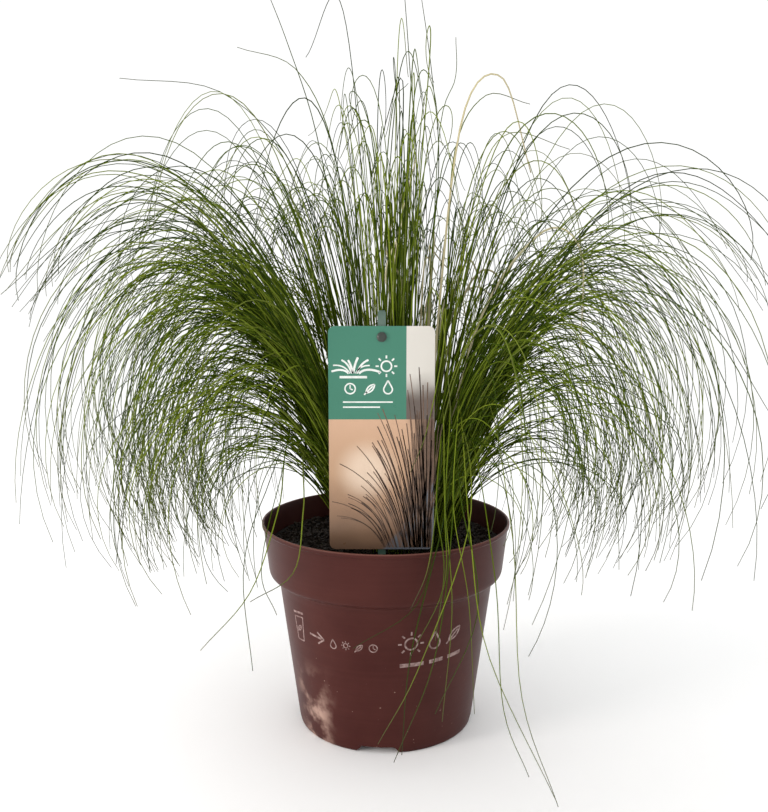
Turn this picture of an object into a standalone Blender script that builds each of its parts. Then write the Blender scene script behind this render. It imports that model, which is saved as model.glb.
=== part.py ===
"""Mexican feather grass in a red-brown plastic nursery pot, with a picture label on a stake.

Frame: the origin is the centre of the pot's foot, on the surface that the pot stands on.
+Z is up, and the label's printed side faces -Y. Lengths are in metres.
"""
import math
import random

import bmesh
import bpy
from mathutils import Vector

# Driving dimensions of the pot
POT_HEIGHT = 0.1423
RIM_RADIUS = 0.085
FOOT_RADIUS = 0.0595
WALL = 0.0013
BAND_DEPTH = 0.0336
PLATE_HEIGHT = 0.005
NOTCH_TURN = math.radians(-95)
POT_SIDES = 48

# Driving dimensions of the soil and of the grass's crown
SOIL_TOP = POT_HEIGHT - 0.015
GAP = 0.0003
CROWN_X = 0.008
CROWN_Y = -0.002
CROWN_RING = 0.027
CROWN_DEPTH = 0.035
CROWN_RISE = 0.014
CORE_SIDES = 10

# Driving dimensions of the blades
BLADE_STEPS = 6
BLADE_WIDTH = 0.0019
TIP_WIDTH = 0.0009
BLADE_DEPTH = 0.6
SPREAD_X = 0.250
SPREAD_Y = 0.165

# The clump reaches as far on both sides of the pot's axis. One blade of each of these tufts,
# at this angle in degrees, ends there.
OUTERMOST = {"tuft_right": 0, "tuft_back": 90, "tuft_left": 180, "tuft_front_right": 300}

# Driving dimensions of the label and its stake
LABEL_WIDTH = 0.066
LABEL_HEIGHT = 0.1418
LABEL_SHEET = 0.0007
LABEL_CORNER = 0.004
LABEL_X = -0.0027
LABEL_BACK = -0.0545
LABEL_BOTTOM = 0.1368
HOLE_X = -0.0026
HOLE_Z = LABEL_BOTTOM + LABEL_HEIGHT - 0.0067
HOLE_RADIUS = 0.0021
STAKE_WIDTH = 0.005
STAKE_TOP = LABEL_BOTTOM + LABEL_HEIGHT + 0.0095
STAKE_BOTTOM = 0.055

# Each tuft fills one sector about the crown's centre, from one angle to another, in degrees.
# Angle 0 points to +X and -90 to the label. Each row after the angles is one kind of blade:
# how many, lean at the root in degrees, rise of the arch above the soil, reach from the root,
# and drop of the tip below the top of the arch, each but the first from least to most.
TUFTS = {
    "tuft_right": ((-22, 20), (
        (16, (14, 34), (0.120, 0.215), (0.120, 0.235), (0.090, 0.220)),
        (14, (28, 50), (0.070, 0.150), (0.080, 0.170), (0.050, 0.170)),
        (4, (10, 24), (0.210, 0.260), (0.130, 0.220), (0.040, 0.120)))),
    "tuft_back_right": ((20, 52), (
        (13, (12, 34), (0.130, 0.240), (0.080, 0.210), (0.080, 0.210)),
        (6, (6, 18), (0.220, 0.290), (0.080, 0.180), (0.020, 0.110)))),
    "tuft_back": ((66, 108), (
        (11, (8, 28), (0.160, 0.270), (0.050, 0.160), (0.030, 0.150)),
        (7, (2, 10), (0.250, 0.345), (0.020, 0.090), (0.000, 0.030)))),
    "tuft_back_left": ((108, 142), (
        (11, (8, 28), (0.150, 0.260), (0.070, 0.180), (0.030, 0.160)),
        (5, (4, 14), (0.240, 0.340), (0.040, 0.130), (0.000, 0.050)))),
    "tuft_left_back": ((142, 168), (
        (14, (14, 36), (0.120, 0.230), (0.090, 0.215), (0.070, 0.200)),
        (4, (8, 22), (0.230, 0.290), (0.110, 0.220), (0.010, 0.090)))),
    "tuft_left": ((168, 204), (
        (16, (16, 38), (0.110, 0.200), (0.110, 0.220), (0.080, 0.200)),
        (15, (30, 52), (0.060, 0.140), (0.070, 0.150), (0.040, 0.140)),
        (4, (12, 28), (0.200, 0.260), (0.130, 0.240), (0.010, 0.080)))),
    "tuft_left_front": ((204, 228), (
        (11, (14, 38), (0.080, 0.190), (0.080, 0.180), (0.060, 0.180)),)),
    "tuft_front": ((230, 293), (
        (6, (1, 5), (0.190, 0.270), (0.015, 0.045), (0.000, 0.020)),
        (5, (1, 4), (0.210, 0.260), (0.060, 0.120), (0.020, 0.090)))),
    "tuft_front_right": ((295, 338), (
        (12, (10, 30), (0.110, 0.230), (0.060, 0.180), (0.100, 0.240)),
        (7, (24, 44), (0.060, 0.120), (0.060, 0.110), (0.080, 0.180)))),
}
STRAW_TUFT = ((52, 66), (
    (3, (6, 20), (0.170, 0.230), (0.090, 0.160), (0.080, 0.160)),
    (3, (2, 8), (0.150, 0.250), (0.020, 0.050), (0.000, 0.010))))


def clear_scene():
    """Remove every object that the scene starts with."""
    for item in list(bpy.data.objects):
        bpy.data.objects.remove(item, do_unlink=True)


def material(name, colour, roughness):
    """Make a plain Principled material."""
    made = bpy.data.materials.new(name)
    made.use_nodes = True
    shader = made.node_tree.nodes["Principled BSDF"]
    shader.inputs["Base Color"].default_value = (*colour, 1.0)
    shader.inputs["Roughness"].default_value = roughness
    return made


def add_object(name, mesh, finish=None):
    """Link a mesh to the scene as a named object."""
    made = bpy.data.objects.new(name, mesh)
    bpy.context.scene.collection.objects.link(made)
    if finish:
        mesh.materials.append(finish)
    return made


def mesh_from(name, points, faces):
    """Make a mesh whose faces all point outwards."""
    shape = bmesh.new()
    corners = [shape.verts.new(point) for point in points]
    for face in faces:
        shape.faces.new([corners[index] for index in face])
    bmesh.ops.recalc_face_normals(shape, faces=shape.faces)
    mesh = bpy.data.meshes.new(name)
    shape.to_mesh(mesh)
    shape.free()
    return mesh


def turned(name, profile, sides=POT_SIDES):
    """Turn a closed outline of (radius, height) pairs, whose first and last points are on the axis."""
    points = [(0, 0, profile[0][1]), (0, 0, profile[-1][1])]
    faces = []
    rings = profile[1:-1]
    for radius, height in rings:
        for side in range(sides):
            angle = 2 * math.pi * side / sides
            points.append((radius * math.cos(angle), radius * math.sin(angle), height))
    for side in range(sides):
        after = (side + 1) % sides
        faces.append((0, 2 + side, 2 + after))
        for ring in range(len(rings) - 1):
            low = 2 + ring * sides
            faces.append((low + side, low + sides + side, low + sides + after, low + after))
        last = 2 + (len(rings) - 1) * sides
        faces.append((1, last + after, last + side))
    return mesh_from(name, points, faces)


def cut(target, cutter):
    """Cut one object out of another, and leave the cutter as a hidden guide."""
    cutter.hide_render = True
    cutter.display_type = "WIRE"
    boolean = target.modifiers.new("cut", "BOOLEAN")
    boolean.operation = "DIFFERENCE"
    boolean.object = cutter


def smooth(item, angle=35):
    """Shade round sides smooth and keep the sharp edges."""
    item.data.shade_smooth()
    item.data.set_sharp_from_angle(angle=math.radians(angle))


def inner_profile():
    """The pot's inside from the plate's edge up to the lip, as (radius, height) pairs."""
    band_foot = POT_HEIGHT - BAND_DEPTH
    plate_top = PLATE_HEIGHT + WALL
    return [
        (FOOT_RADIUS - 0.0022, plate_top),
        (FOOT_RADIUS - 0.0004, plate_top + 0.0018),
        (FOOT_RADIUS + 0.0126 - WALL, band_foot - 0.0095),
        (FOOT_RADIUS + 0.0148 - WALL, band_foot - 0.0055),
        (FOOT_RADIUS + 0.0192 - WALL, band_foot - 0.0010),
        (RIM_RADIUS - 0.0046 - WALL, band_foot + 0.0015),
        (RIM_RADIUS - 0.0008 - WALL, POT_HEIGHT - 0.0020),
        (RIM_RADIUS - 0.0005 - WALL, POT_HEIGHT)]


def make_pot(finish):
    """The thin-walled pot: foot ring, raised plate, tapered body, undercut shoulder, deep band, lip."""
    band_foot = POT_HEIGHT - BAND_DEPTH
    outside = [
        (0, PLATE_HEIGHT),
        (FOOT_RADIUS - 0.0045, PLATE_HEIGHT),
        (FOOT_RADIUS - 0.0042, 0),
        (FOOT_RADIUS - 0.0010, 0),
        (FOOT_RADIUS + 0.0003, 0.0008),
        (FOOT_RADIUS + 0.0010, 0.0030),
        (FOOT_RADIUS + 0.0137, band_foot - 0.0100),
        (FOOT_RADIUS + 0.0155, band_foot - 0.0068),
        (FOOT_RADIUS + 0.0186, band_foot - 0.0032),
        (RIM_RADIUS - 0.0052, band_foot - 0.0016),
        (RIM_RADIUS - 0.0046, band_foot),
        (RIM_RADIUS - 0.0008, POT_HEIGHT - 0.0030),
        (RIM_RADIUS, POT_HEIGHT - 0.0024),
        (RIM_RADIUS, POT_HEIGHT - 0.0006),
        (RIM_RADIUS - 0.0006, POT_HEIGHT)]
    inside = inner_profile()[::-1] + [(0, PLATE_HEIGHT + WALL)]
    pot = add_object("pot", turned("pot", outside + inside), finish)
    cut(pot, add_object("foot_cuts", foot_cuts()))
    smooth(pot)
    return pot


def foot_cuts():
    """Four drain notches through the foot ring and eight round drain holes through the plate."""
    half_top = 0.0105
    half_bottom = 0.0145
    inner = FOOT_RADIUS - 0.0120
    outer = FOOT_RADIUS + 0.0060
    below = -0.0010
    above = PLATE_HEIGHT - 0.0002
    points = []
    faces = []
    for quarter in range(4):
        angle = NOTCH_TURN + quarter * math.pi / 2
        out = Vector((math.cos(angle), math.sin(angle), 0))
        side = Vector((-math.sin(angle), math.cos(angle), 0))
        start = len(points)
        for reach in (inner, outer):
            outline = ((-half_bottom, below), (half_bottom, below), (half_top, above), (-half_top, above))
            points += [out * reach + side * across + Vector((0, 0, up)) for across, up in outline]
        faces += box_faces(start)
    hole_sides = 12
    hole_radius = 0.004
    hole_ring = 0.040
    for hole in range(8):
        angle = NOTCH_TURN + (hole + 0.5) * math.pi / 4
        centre = Vector((math.cos(angle), math.sin(angle), 0)) * hole_ring
        start = len(points)
        for height in (PLATE_HEIGHT - 0.001, PLATE_HEIGHT + WALL + 0.001):
            for side in range(hole_sides):
                turn = 2 * math.pi * side / hole_sides
                points.append(centre + Vector((hole_radius * math.cos(turn), hole_radius * math.sin(turn), height)))
        faces += prism_faces(start, hole_sides)
    return mesh_from("foot_cuts", points, faces)


def prism_faces(start, sides):
    """Faces of a prism whose two rings of points follow each other from start."""
    faces = [tuple(range(start, start + sides)), tuple(range(start + sides, start + 2 * sides))]
    for side in range(sides):
        after = (side + 1) % sides
        faces.append((start + side, start + after, start + sides + after, start + sides + side))
    return faces


def box_faces(start):
    """Faces of a four-sided prism."""
    return prism_faces(start, 4)


def soil_height(x, y):
    """Height of the soil: a low mound with small lumps, from a sum of waves in millimetres."""
    radius = math.hypot(x, y)
    lumps = 0.0008 * math.sin(170 * x + 1.3) * math.cos(210 * y) + 0.0005 * math.sin(390 * x - 330 * y)
    return SOIL_TOP - 0.0015 * (radius / RIM_RADIUS) ** 2 + lumps


def make_soil(finish):
    """The soil: it fills the pot, 0.3 mm clear of its inside, with plain holes for what stands in it."""
    side_wall = [(radius - GAP * 1.3, height) for radius, height in inner_profile() if height < SOIL_TOP - 0.004]
    side_wall[0] = (side_wall[0][0], side_wall[0][1] + GAP)
    low, high = inner_profile()[5], inner_profile()[6]
    part = (SOIL_TOP - low[1]) / (high[1] - low[1])
    top_radius = low[0] + part * (high[0] - low[0]) - GAP * 3
    inner_rings = [(top_radius * share, SOIL_TOP) for share in (1.0, 0.86, 0.72, 0.58, 0.42, 0.24)]
    profile = [(0, PLATE_HEIGHT + WALL + GAP)] + side_wall + inner_rings + [(0, SOIL_TOP)]
    mesh = turned("soil", profile)
    for corner in mesh.vertices:
        if corner.co.z > SOIL_TOP - 0.0001:
            corner.co.z = soil_height(corner.co.x, corner.co.y)
    soil = add_object("soil", mesh, finish)
    cut(soil, add_object("soil_holes", soil_holes()))
    return soil


def soil_holes():
    """Round holes for the tufts' crowns and a slot for the stake."""
    points = []
    faces = []
    for sector in [*(rule[0] for rule in TUFTS.values()), STRAW_TUFT[0]]:
        centre, radius = core_place(sector)
        start = len(points)
        for height in (SOIL_TOP - CROWN_DEPTH - GAP, SOIL_TOP + 0.01):
            points += ring(centre, radius + GAP * 1.2, height)
        faces += prism_faces(start, CORE_SIDES)
    half = STAKE_WIDTH / 2 + GAP
    start = len(points)
    for height in (STAKE_BOTTOM - GAP, SOIL_TOP + 0.01):
        for across, along in ((-half, -0.0006), (half, -0.0006), (half, 0.0031), (-half, 0.0031)):
            points.append((HOLE_X + across, LABEL_BACK + along + GAP, height))
    faces += box_faces(start)
    return mesh_from("soil_holes", points, faces)


def ring(centre, radius, height):
    """A level ring of points round a crown."""
    made = []
    for side in range(CORE_SIDES):
        angle = 2 * math.pi * side / CORE_SIDES
        made.append((centre[0] + radius * math.cos(angle), centre[1] + radius * math.sin(angle), height))
    return made


def core_place(sector):
    """Centre and radius of a tuft's crown, which fits inside its sector."""
    middle = math.radians(sum(sector) / 2)
    half = math.radians((sector[1] - sector[0]) / 2)
    radius = min(0.0105, CROWN_RING * math.sin(half) - 0.0007)
    centre = (CROWN_X + CROWN_RING * math.cos(middle), CROWN_Y + CROWN_RING * math.sin(middle))
    return centre, radius


def arch(root, turn, lean, rise, reach, drop):
    """Points along one blade: a Bezier arch in a plane that turns slowly, from the root to the tip."""
    tip_height = rise - drop
    handle = (rise - tip_height / 8) / 0.72
    flat = (0, min(handle * math.tan(lean), reach * 0.48), reach * 0.88, reach)
    high = (0, handle, handle * 0.92, tip_height)
    path = []
    for step in range(BLADE_STEPS + 1):
        t = step / BLADE_STEPS
        weights = ((1 - t) ** 3, 3 * t * (1 - t) ** 2, 3 * t * t * (1 - t), t ** 3)
        away = sum(weight * value for weight, value in zip(weights, flat))
        up = sum(weight * value for weight, value in zip(weights, high))
        angle = turn[0] + (turn[1] - turn[0]) * t
        path.append(Vector((root[0] + away * math.cos(angle), root[1] + away * math.sin(angle), root[2] + up)))
    return path


def path_is_clear(path):
    """Whether a blade keeps to the clump's width and clear of the rim, soil, label and surface below."""
    for before, after in zip(path, path[1:]):
        for part in (0, 0.25, 0.5, 0.75, 1):
            point = before.lerp(after, part)
            if abs(point.x) > SPREAD_X or abs(point.y) > SPREAD_Y:
                return False
            from_axis = math.hypot(point.x, point.y)
            from_crown = math.hypot(point.x - CROWN_X, point.y - CROWN_Y)
            if point.z < 0.006:
                return False
            if point.z < POT_HEIGHT + 0.004 and from_axis < RIM_RADIUS + 0.004 and from_crown > CROWN_RING + 0.016:
                return False
            beside_label = abs(point.x - LABEL_X) < LABEL_WIDTH / 2 + 0.004
            if beside_label and abs(point.y - LABEL_BACK) < 0.006 and point.z < STAKE_TOP + 0.004:
                return False
    return True


def blade(path, width):
    """A closed three-sided tapering blade along a path, with its flat side down."""
    points = []
    last = len(path) - 1
    for index, point in enumerate(path):
        along = (path[min(index + 1, last)] - path[max(index - 1, 0)]).normalized()
        away = Vector((path[-1].x - path[0].x, path[-1].y - path[0].y, 0)).normalized()
        side = away.cross(Vector((0, 0, 1)))
        across = (side - along * side.dot(along)).normalized()
        up = across.cross(along)
        size = width + (TIP_WIDTH - width) * index / last
        points += [point - across * size / 2, point + across * size / 2, point + up * size * BLADE_DEPTH * 1.4]
    faces = [(0, 1, 2), (3 * last, 3 * last + 1, 3 * last + 2)]
    for index in range(last):
        low = 3 * index
        for side in range(3):
            after = (side + 1) % 3
            faces.append((low + side, low + after, low + 3 + after, low + 3 + side))
    return mesh_from("blade", points, faces)


def core(sector):
    """The crown of a tuft: a round plug in the soil with a domed top, where the blades start."""
    centre, radius = core_place(sector)
    levels = ((radius, SOIL_TOP - CROWN_DEPTH), (radius, SOIL_TOP + 0.002),
              (radius * 0.86, SOIL_TOP + CROWN_RISE * 0.7), (radius * 0.45, SOIL_TOP + CROWN_RISE))
    points = []
    for size, height in levels:
        points += ring(centre, size, height)
    rings = len(levels)
    faces = [tuple(range(CORE_SIDES)), tuple(range((rings - 1) * CORE_SIDES, rings * CORE_SIDES))]
    for level in range(rings - 1):
        low = level * CORE_SIDES
        for side in range(CORE_SIDES):
            after = (side + 1) % CORE_SIDES
            faces.append((low + side, low + after, low + CORE_SIDES + after, low + CORE_SIDES + side))
    return mesh_from("core", points, faces)


def outermost_blade(sector, degrees):
    """The blade that ends at the clump's full width, straight out from its tuft's crown."""
    centre = core_place(sector)[0]
    angle = math.radians(degrees)
    if degrees in (0, 180):
        reach = SPREAD_X - centre[0] * math.cos(angle)
    else:
        reach = (SPREAD_Y - centre[1] * math.copysign(1, math.sin(angle))) / abs(math.sin(angle))
    root = (centre[0], centre[1], SOIL_TOP + CROWN_RISE * 0.3)
    return arch(root, (angle, angle), math.radians(22), 0.19, reach, 0.13)


def draw_blades(sector, kinds, dice):
    """Draw the blades of one tuft. Roots and directions stay in the sector, so tufts never cross."""
    centre, radius = core_place(sector)
    first = math.radians(sector[0] + 1.5)
    last = math.radians(sector[1] - 1.5)
    middle = (first + last) / 2
    paths = []
    for count, lean, rise, reach, drop in kinds:
        made = 0
        for _ in range(count * 40):
            if made == count:
                break
            turn = (dice.uniform(first, last), dice.uniform(first, last))
            outward = dice.uniform(-0.35, 0.7)
            sideways = 0.55 * (turn[0] - middle) / max(last - middle, 0.01)
            root = (centre[0] + radius * (outward * math.cos(middle) - sideways * math.sin(middle)),
                    centre[1] + radius * (outward * math.sin(middle) + sideways * math.cos(middle)),
                    SOIL_TOP + CROWN_RISE * 0.3)
            size = dice.random()
            path = arch(root, turn, math.radians(dice.uniform(*lean)), spread(rise, size, dice),
                        spread(reach, size, dice), dice.uniform(*drop))
            if path_is_clear(path):
                paths.append(path)
                made += 1
    return paths


def spread(limits, size, dice):
    """A value between two limits that mostly follows the blade's own size."""
    share = min(max(0.7 * size + 0.3 * dice.random(), 0), 1)
    return limits[0] + (limits[1] - limits[0]) * share


def largest_body(mesh):
    """Keep a mesh's largest connected surface, so that sealed hollows are filled and scraps dropped."""
    shape = bmesh.new()
    shape.from_mesh(mesh)
    waiting = set(shape.verts)
    bodies = []
    while waiting:
        found = {waiting.pop()}
        edge_of = list(found)
        while edge_of:
            for edge in edge_of.pop().link_edges:
                for corner in edge.verts:
                    if corner in waiting:
                        waiting.discard(corner)
                        found.add(corner)
                        edge_of.append(corner)
        bodies.append(found)
    bodies.sort(key=len)
    extra = [corner for body in bodies[:-1] for corner in body]
    bmesh.ops.delete(shape, geom=extra, context="VERTS")
    shape.to_mesh(mesh)
    shape.free()


def make_tuft(name, rule, finish, seed, width=BLADE_WIDTH):
    """One tuft: its crown and all its blades, fused into one body."""
    sector, kinds = rule
    dice = random.Random(seed)
    helpers = bpy.data.collections.new(name + "_blades")
    bpy.context.scene.collection.children.link(helpers)
    paths = draw_blades(sector, kinds, dice)
    if name in OUTERMOST:
        paths.append(outermost_blade(sector, OUTERMOST[name]))
    for path in paths:
        helpers.objects.link(bpy.data.objects.new("blade", blade(path, width * dice.uniform(0.85, 1.15))))
    tuft = add_object(name, core(sector), finish)
    boolean = tuft.modifiers.new("fuse", "BOOLEAN")
    boolean.operation = "UNION"
    boolean.operand_type = "COLLECTION"
    boolean.collection = helpers
    boolean.solver = "MANIFOLD"
    fused = bpy.data.meshes.new_from_object(tuft.evaluated_get(bpy.context.evaluated_depsgraph_get()))
    tuft.modifiers.remove(boolean)
    largest_body(fused)
    tuft.data = fused
    fused.name = name
    for helper in list(helpers.objects):
        bpy.data.objects.remove(helper, do_unlink=True)
    bpy.data.collections.remove(helpers)
    return tuft


def make_label(finish):
    """The picture label: a thin sheet with round corners and a punched hole."""
    corner_steps = 4
    outline = []
    for quarter, (x_side, z_side) in enumerate(((1, 1), (-1, 1), (-1, -1), (1, -1))):
        centre_x = LABEL_X + x_side * (LABEL_WIDTH / 2 - LABEL_CORNER)
        centre_z = LABEL_BOTTOM + LABEL_HEIGHT / 2 + z_side * (LABEL_HEIGHT / 2 - LABEL_CORNER)
        for step in range(corner_steps + 1):
            angle = math.pi / 2 * (quarter + step / corner_steps)
            outline.append((centre_x + LABEL_CORNER * math.cos(angle), centre_z + LABEL_CORNER * math.sin(angle)))
    points = [(x, LABEL_BACK - depth, z) for depth in (0, LABEL_SHEET) for x, z in outline]
    label = add_object("label", mesh_from("label", points, prism_faces(0, len(outline))), finish)
    hole_sides = 16
    hole = []
    for depth in (0.002, -0.002):
        for side in range(hole_sides):
            angle = 2 * math.pi * side / hole_sides
            hole.append((HOLE_X + HOLE_RADIUS * math.cos(angle), LABEL_BACK + depth,
                         HOLE_Z + HOLE_RADIUS * math.sin(angle)))
    cut(label, add_object("label_hole", mesh_from("label_hole", hole, prism_faces(0, hole_sides))))
    return label


def make_stake(finish):
    """The stake: a channel-shaped strip with a pointed foot, and a button that holds the label."""
    half = STAKE_WIDTH / 2
    front = LABEL_BACK + GAP
    web = 0.0010
    rib = 0.0024
    rib_width = 0.0011
    section = ((-half, 0), (half, 0), (half, rib), (half - rib_width, rib), (half - rib_width, web),
               (-half + rib_width, web), (-half + rib_width, rib), (-half, rib))
    levels = ((STAKE_BOTTOM, 0.30), (STAKE_BOTTOM + 0.012, 1.0), (STAKE_TOP - 0.0015, 1.0), (STAKE_TOP, 0.75))
    points = []
    faces = [tuple(range(8)), tuple(range(24, 32))]
    for height, size in levels:
        points += [(HOLE_X + across * size, front + depth, height) for across, depth in section]
    for level in range(3):
        low = level * 8
        for side in range(8):
            after = (side + 1) % 8
            faces.append((low + side, low + after, low + 8 + after, low + 8 + side))
    stake = add_object("stake", mesh_from("stake", points, faces), finish)
    button = add_object("stake_button", stake_button(front))
    button.hide_render = True
    button.display_type = "WIRE"
    boolean = stake.modifiers.new("button", "BOOLEAN")
    boolean.operation = "UNION"
    boolean.object = button
    return stake


def stake_button(front):
    """A pin through the label's hole with a round head in front of the label."""
    head_radius = 0.0031
    pin_radius = HOLE_RADIUS - GAP
    head_back = LABEL_BACK - LABEL_SHEET - GAP
    levels = ((pin_radius, front + 0.0005), (pin_radius, head_back), (head_radius, head_back),
              (head_radius, head_back - 0.0007), (head_radius * 0.6, head_back - 0.0013))
    sides = 16
    points = []
    for radius, depth in levels:
        for side in range(sides):
            angle = 2 * math.pi * side / sides
            points.append((HOLE_X + radius * math.cos(angle), depth, HOLE_Z + radius * math.sin(angle)))
    last = (len(levels) - 1) * sides
    faces = [tuple(range(sides)), tuple(range(last, last + sides))]
    for level in range(len(levels) - 1):
        low = level * sides
        for side in range(sides):
            after = (side + 1) % sides
            faces.append((low + side, low + after, low + sides + after, low + sides + side))
    return mesh_from("stake_button", points, faces)


clear_scene()
make_pot(material("red_brown_plastic", (0.058, 0.018, 0.014), 0.42))
make_soil(material("potting_soil", (0.018, 0.013, 0.010), 0.95))
green = material("green_blades", (0.075, 0.125, 0.022), 0.45)
for number, (tuft_name, tuft_rule) in enumerate(TUFTS.items()):
    make_tuft(tuft_name, tuft_rule, green, 100 + number)
make_tuft("tuft_straw", STRAW_TUFT, material("straw_blades", (0.56, 0.50, 0.30), 0.5), 200)
make_label(material("label_print", (0.42, 0.28, 0.18), 0.35))
make_stake(material("stake_plastic", (0.30, 0.36, 0.32), 0.30))
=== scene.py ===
"""The looks of a potted Mexican feather grass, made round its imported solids.

Lengths are in metres. +Z is up, the pot's foot ring stands on z = 0, and the label faces -Y.
"""
import math

import bpy
import numpy as np
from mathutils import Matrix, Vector


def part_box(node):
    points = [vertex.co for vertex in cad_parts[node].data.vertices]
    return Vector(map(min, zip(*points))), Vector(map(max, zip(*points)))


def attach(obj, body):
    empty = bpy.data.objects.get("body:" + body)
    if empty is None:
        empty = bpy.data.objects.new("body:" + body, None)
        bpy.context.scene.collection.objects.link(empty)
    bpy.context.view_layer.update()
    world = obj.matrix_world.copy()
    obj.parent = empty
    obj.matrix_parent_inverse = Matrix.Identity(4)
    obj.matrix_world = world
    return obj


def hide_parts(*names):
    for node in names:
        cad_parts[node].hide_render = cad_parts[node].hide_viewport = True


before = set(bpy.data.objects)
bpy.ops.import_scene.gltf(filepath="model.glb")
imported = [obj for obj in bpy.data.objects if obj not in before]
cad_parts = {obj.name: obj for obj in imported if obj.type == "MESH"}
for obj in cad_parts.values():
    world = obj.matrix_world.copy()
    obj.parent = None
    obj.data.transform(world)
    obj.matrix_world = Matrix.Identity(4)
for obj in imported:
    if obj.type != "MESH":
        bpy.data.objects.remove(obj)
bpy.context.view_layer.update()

# The pot: thin red-brown plastic, moulded in one piece. It has a foot ring with four
# drain notches, a raised plate with drain holes, a tapered body, an undercut shoulder and a deep
# band up to a thin rolled lip. Its inner face is a darker brown, partly its own darker layer and
# partly painted shade.
POT_HIGH = np.array(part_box("pot")[1])
POT_HEIGHT = POT_HIGH[2]
RIM_RADIUS = POT_HIGH[0]
FOOT_RADIUS = RIM_RADIUS * 0.7
WALL = 0.0013
BAND_FOOT = POT_HEIGHT - 0.0336
PLATE_HEIGHT = 0.005
NOTCH_TURN = math.radians(-95)
POT_SIDES = 384
POLE_RADIUS = 0.0001
NOTCH_HALF = 0.0145
NOTCH_SLOPE = 0.0040
DRAINS = 8
DRAIN_SIDES = 32
DRAIN_RING = 0.040
DRAIN_RADIUS = 0.004


class Wire:
    """An output socket of a shader. Arithmetic on it adds Math nodes."""

    def __init__(self, finish, socket):
        self.finish = finish
        self.socket = socket

    def math(self, operation, *others):
        """One Math node on this value and the others."""
        values = dict(enumerate((self, *others)))
        return self.finish.add("ShaderNodeMath", {"operation": operation}, values)

    def __add__(self, other):
        return self.math("ADD", other)

    def __sub__(self, other):
        return self.math("SUBTRACT", other)

    def __mul__(self, other):
        return self.math("MULTIPLY", other)

    def __rsub__(self, other):
        return self * -1 + other

    def __gt__(self, other):
        return self.math("GREATER_THAN", other)

    def __lt__(self, other):
        return self.math("LESS_THAN", other)

    __radd__ = __add__
    __rmul__ = __mul__

    def step(self, low, high):
        """0 below low, 1 above high, and a smooth rise between them."""
        settings = {"interpolation_type": "SMOOTHSTEP"}
        values = {"Value": self, "From Min": low, "From Max": high}
        return self.finish.add("ShaderNodeMapRange", settings, values)


class Finish:
    """A material and the means to add nodes to it."""

    def __init__(self, name, roughness, specular=0.5):
        self.material = bpy.data.materials.new(name)
        self.material.use_nodes = True
        self.tree = self.material.node_tree
        self.shader = self.tree.nodes["Principled BSDF"]
        self.shader.inputs["Roughness"].default_value = roughness
        self.shader.inputs["Specular IOR Level"].default_value = specular

    def add(self, kind, settings=None, values=None, output=0):
        """Add a node, set its settings, then the values or links of its sockets; give one output."""
        node = self.tree.nodes.new(kind)
        for key, value in (settings or {}).items():
            if key == "stops":
                self.stops(node.color_ramp, value)
            else:
                setattr(node, key, value)
        for key, value in (values or {}).items():
            self.feed(node.inputs[key], value)
        return Wire(self, node.outputs[output])

    def stops(self, ramp, stops):
        """Give a colour ramp its stops as (place, colour) pairs."""
        while len(ramp.elements) < len(stops):
            ramp.elements.new(0.5)
        for element, (place, colour) in zip(ramp.elements, stops):
            element.position = place
            element.color = (*colour, 1)

    def feed(self, socket, value):
        """Link a socket to another node's value, or set it to a number or a colour."""
        if isinstance(value, Wire):
            self.tree.links.new(value.socket, socket)
        elif isinstance(value, tuple) and len(value) == 3 and len(socket.default_value) == 4:
            socket.default_value = (*value, 1)
        else:
            socket.default_value = value

    def place(self):
        """The three Object coordinates."""
        where = self.add("ShaderNodeTexCoord", output=3)
        return where, [self.add("ShaderNodeSeparateXYZ", None, {0: where}, axis) for axis in range(3)]

    def noise(self, where, scale, detail=4, stretch=(1, 1, 1)):
        """Cloudy noise from 0 to 1, whose lumps are 1 / scale across, stretched along each axis."""
        sized = self.add("ShaderNodeMapping", None, {"Vector": where, "Scale": stretch})
        return self.add("ShaderNodeTexNoise", None, {"Vector": sized, "Scale": scale, "Detail": detail})

    def mix(self, factor, first, second):
        """The first colour where the factor is 0, and the second where it is 1."""
        return self.add("ShaderNodeMix", {"data_type": "RGBA"}, {0: factor, 6: first, 7: second}, 2)

    def ramp(self, factor, *stops):
        """A colour from a factor, by stops of (place, colour)."""
        return self.add("ShaderNodeValToRGB", {"stops": stops}, {0: factor})

    def bump(self, height, strength, distance):
        """Shading for a relief of this height, without moving the surface."""
        values = {"Height": height, "Strength": strength, "Distance": distance}
        return self.add("ShaderNodeBump", None, values)

    def set(self, **inputs):
        """Feed the shader's own sockets by name, with _ for a space."""
        for key, value in inputs.items():
            self.feed(self.shader.inputs[key.replace("_", " ")], value)
        return self.material


def piece(name, points, faces, material, smooth=True):
    """A mesh object at the origin from an array of points and an array of equal-sided faces."""
    mesh = bpy.data.meshes.new(name)
    sides = faces.shape[1]
    mesh.vertices.add(len(points))
    mesh.vertices.foreach_set("co", points.astype(np.float32).ravel())
    mesh.loops.add(faces.size)
    mesh.loops.foreach_set("vertex_index", faces.astype(np.int32).ravel())
    mesh.polygons.add(len(faces))
    mesh.polygons.foreach_set("loop_start", np.arange(0, faces.size, sides, dtype=np.int32))
    mesh.polygons.foreach_set("use_smooth", np.full(len(faces), smooth))
    mesh.update(calc_edges=True)
    mesh.validate()
    mesh.materials.append(material)
    made = bpy.data.objects.new(name, mesh)
    bpy.context.scene.collection.objects.link(made)
    return made


def grid_faces(rows, columns, closed=True):
    """Four-sided faces of a grid of points, row by row, whose columns may close on themselves."""
    across = columns if closed else columns - 1
    row, column = np.meshgrid(np.arange(rows - 1), np.arange(across), indexing="ij")
    after = (column + 1) % columns
    here, beyond = row * columns, (row + 1) * columns
    return np.stack((here + column, here + after, beyond + after, beyond + column), -1).reshape(-1, 4)


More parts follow.
